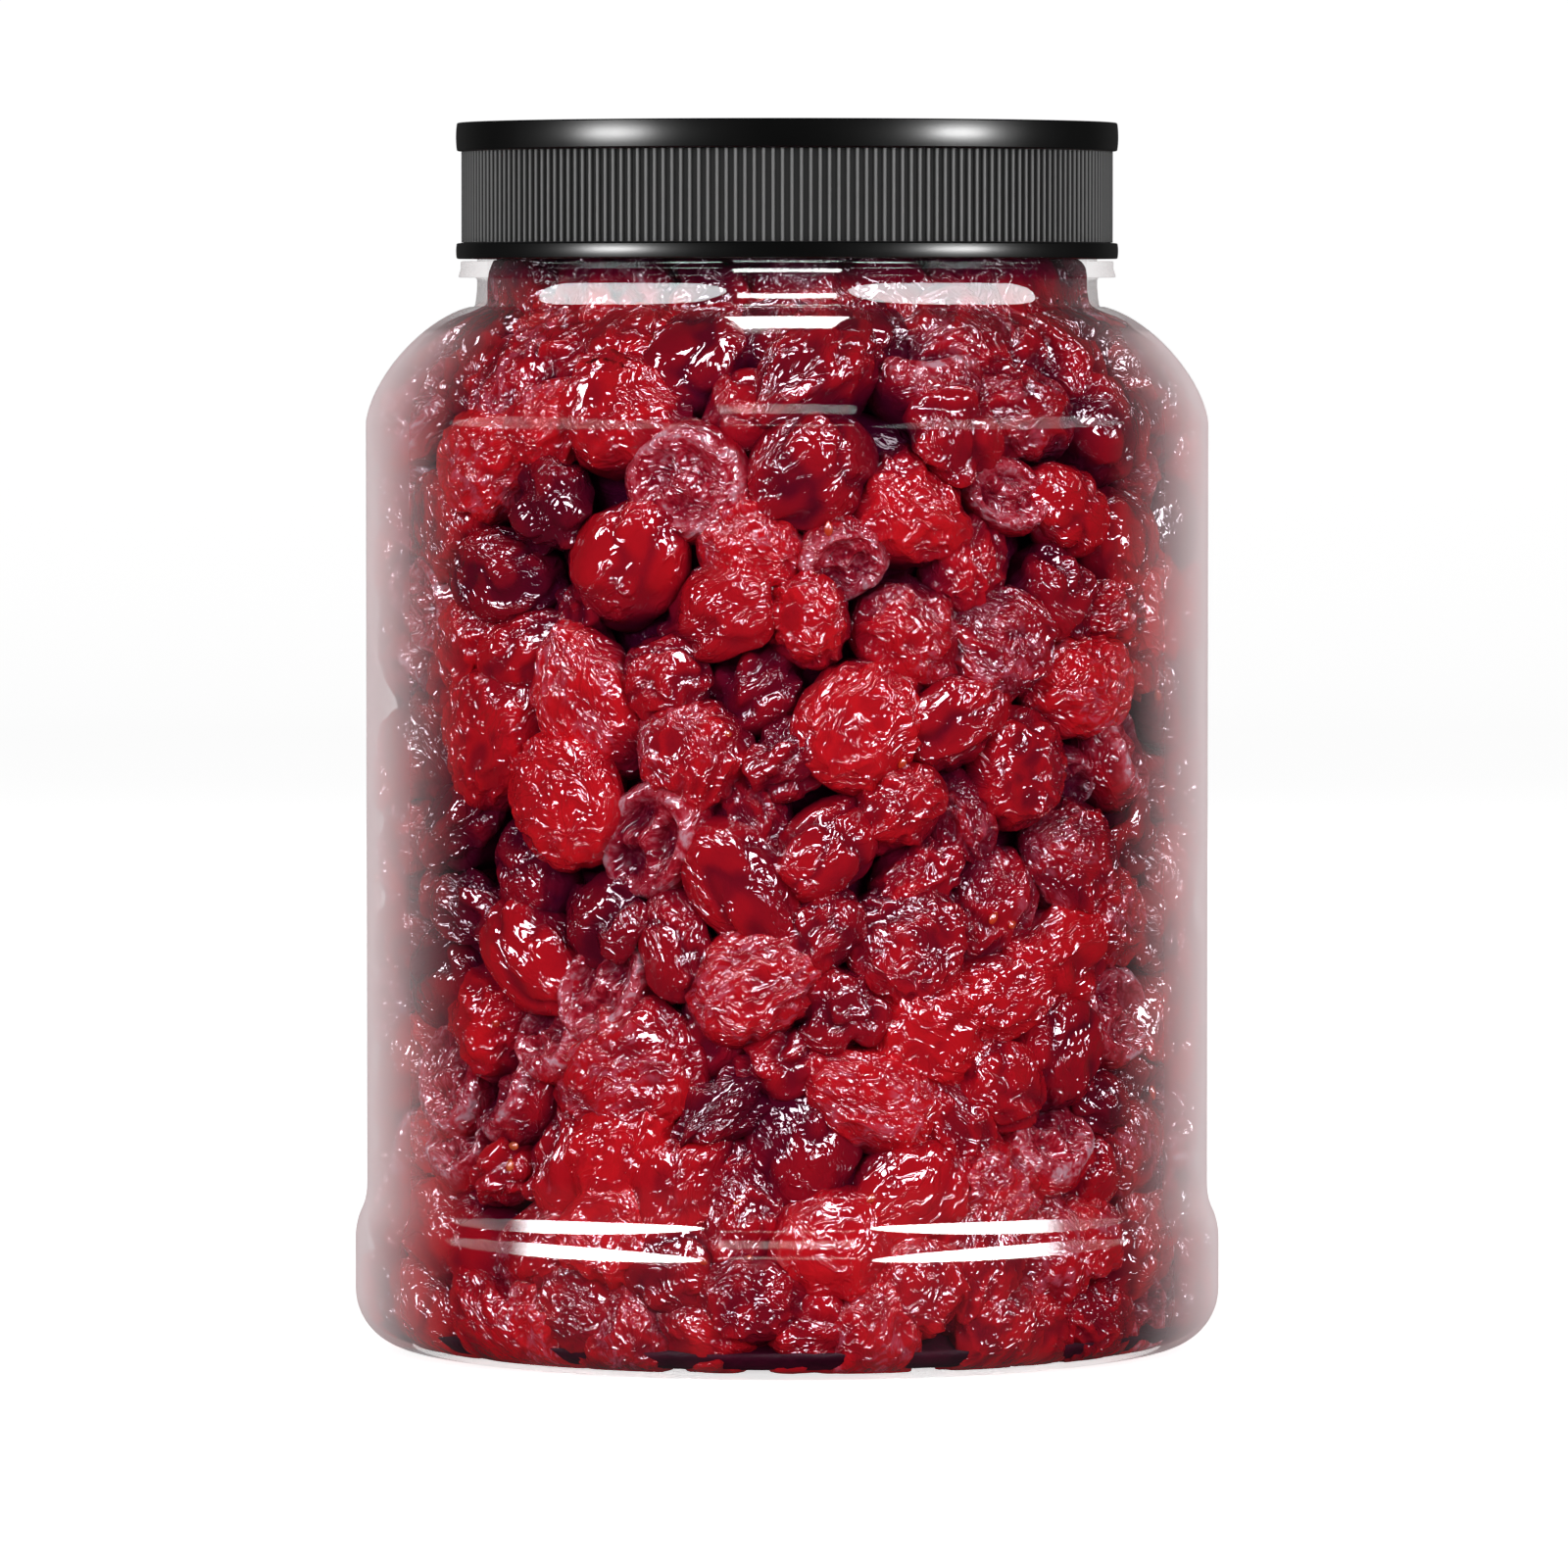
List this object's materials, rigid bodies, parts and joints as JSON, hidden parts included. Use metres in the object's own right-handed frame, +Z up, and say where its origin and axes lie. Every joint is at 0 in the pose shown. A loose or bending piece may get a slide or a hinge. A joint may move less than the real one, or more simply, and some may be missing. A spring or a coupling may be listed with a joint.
{
  "type": "jar of dried cranberries",
  "caption": "Clear wide-mouth plastic jar with a foot band and sloping shoulder, a black ribbed screw lid, and a filling of whole and cut dried cranberries.",
  "frame": {"origin": "centre of the underside, on the surface that the jar stands on", "axes": "+Z up along the jar's centre line, -Y towards the viewer; the jar is round, so X and Y are free"},
  "size_m": [0.1112, 0.1112, 0.157],
  "materials": {
    "clear_plastic": "clear, high gloss",
    "black_plastic": "moulded, semi-gloss",
    "dried_cranberry": "sticky glossy fruit skin"
  },
  "bodies": {
    "root": {"jar": "clear_plastic", "lid": "black_plastic", "cranberries": "dried_cranberry"}
  },
  "joints": []
}
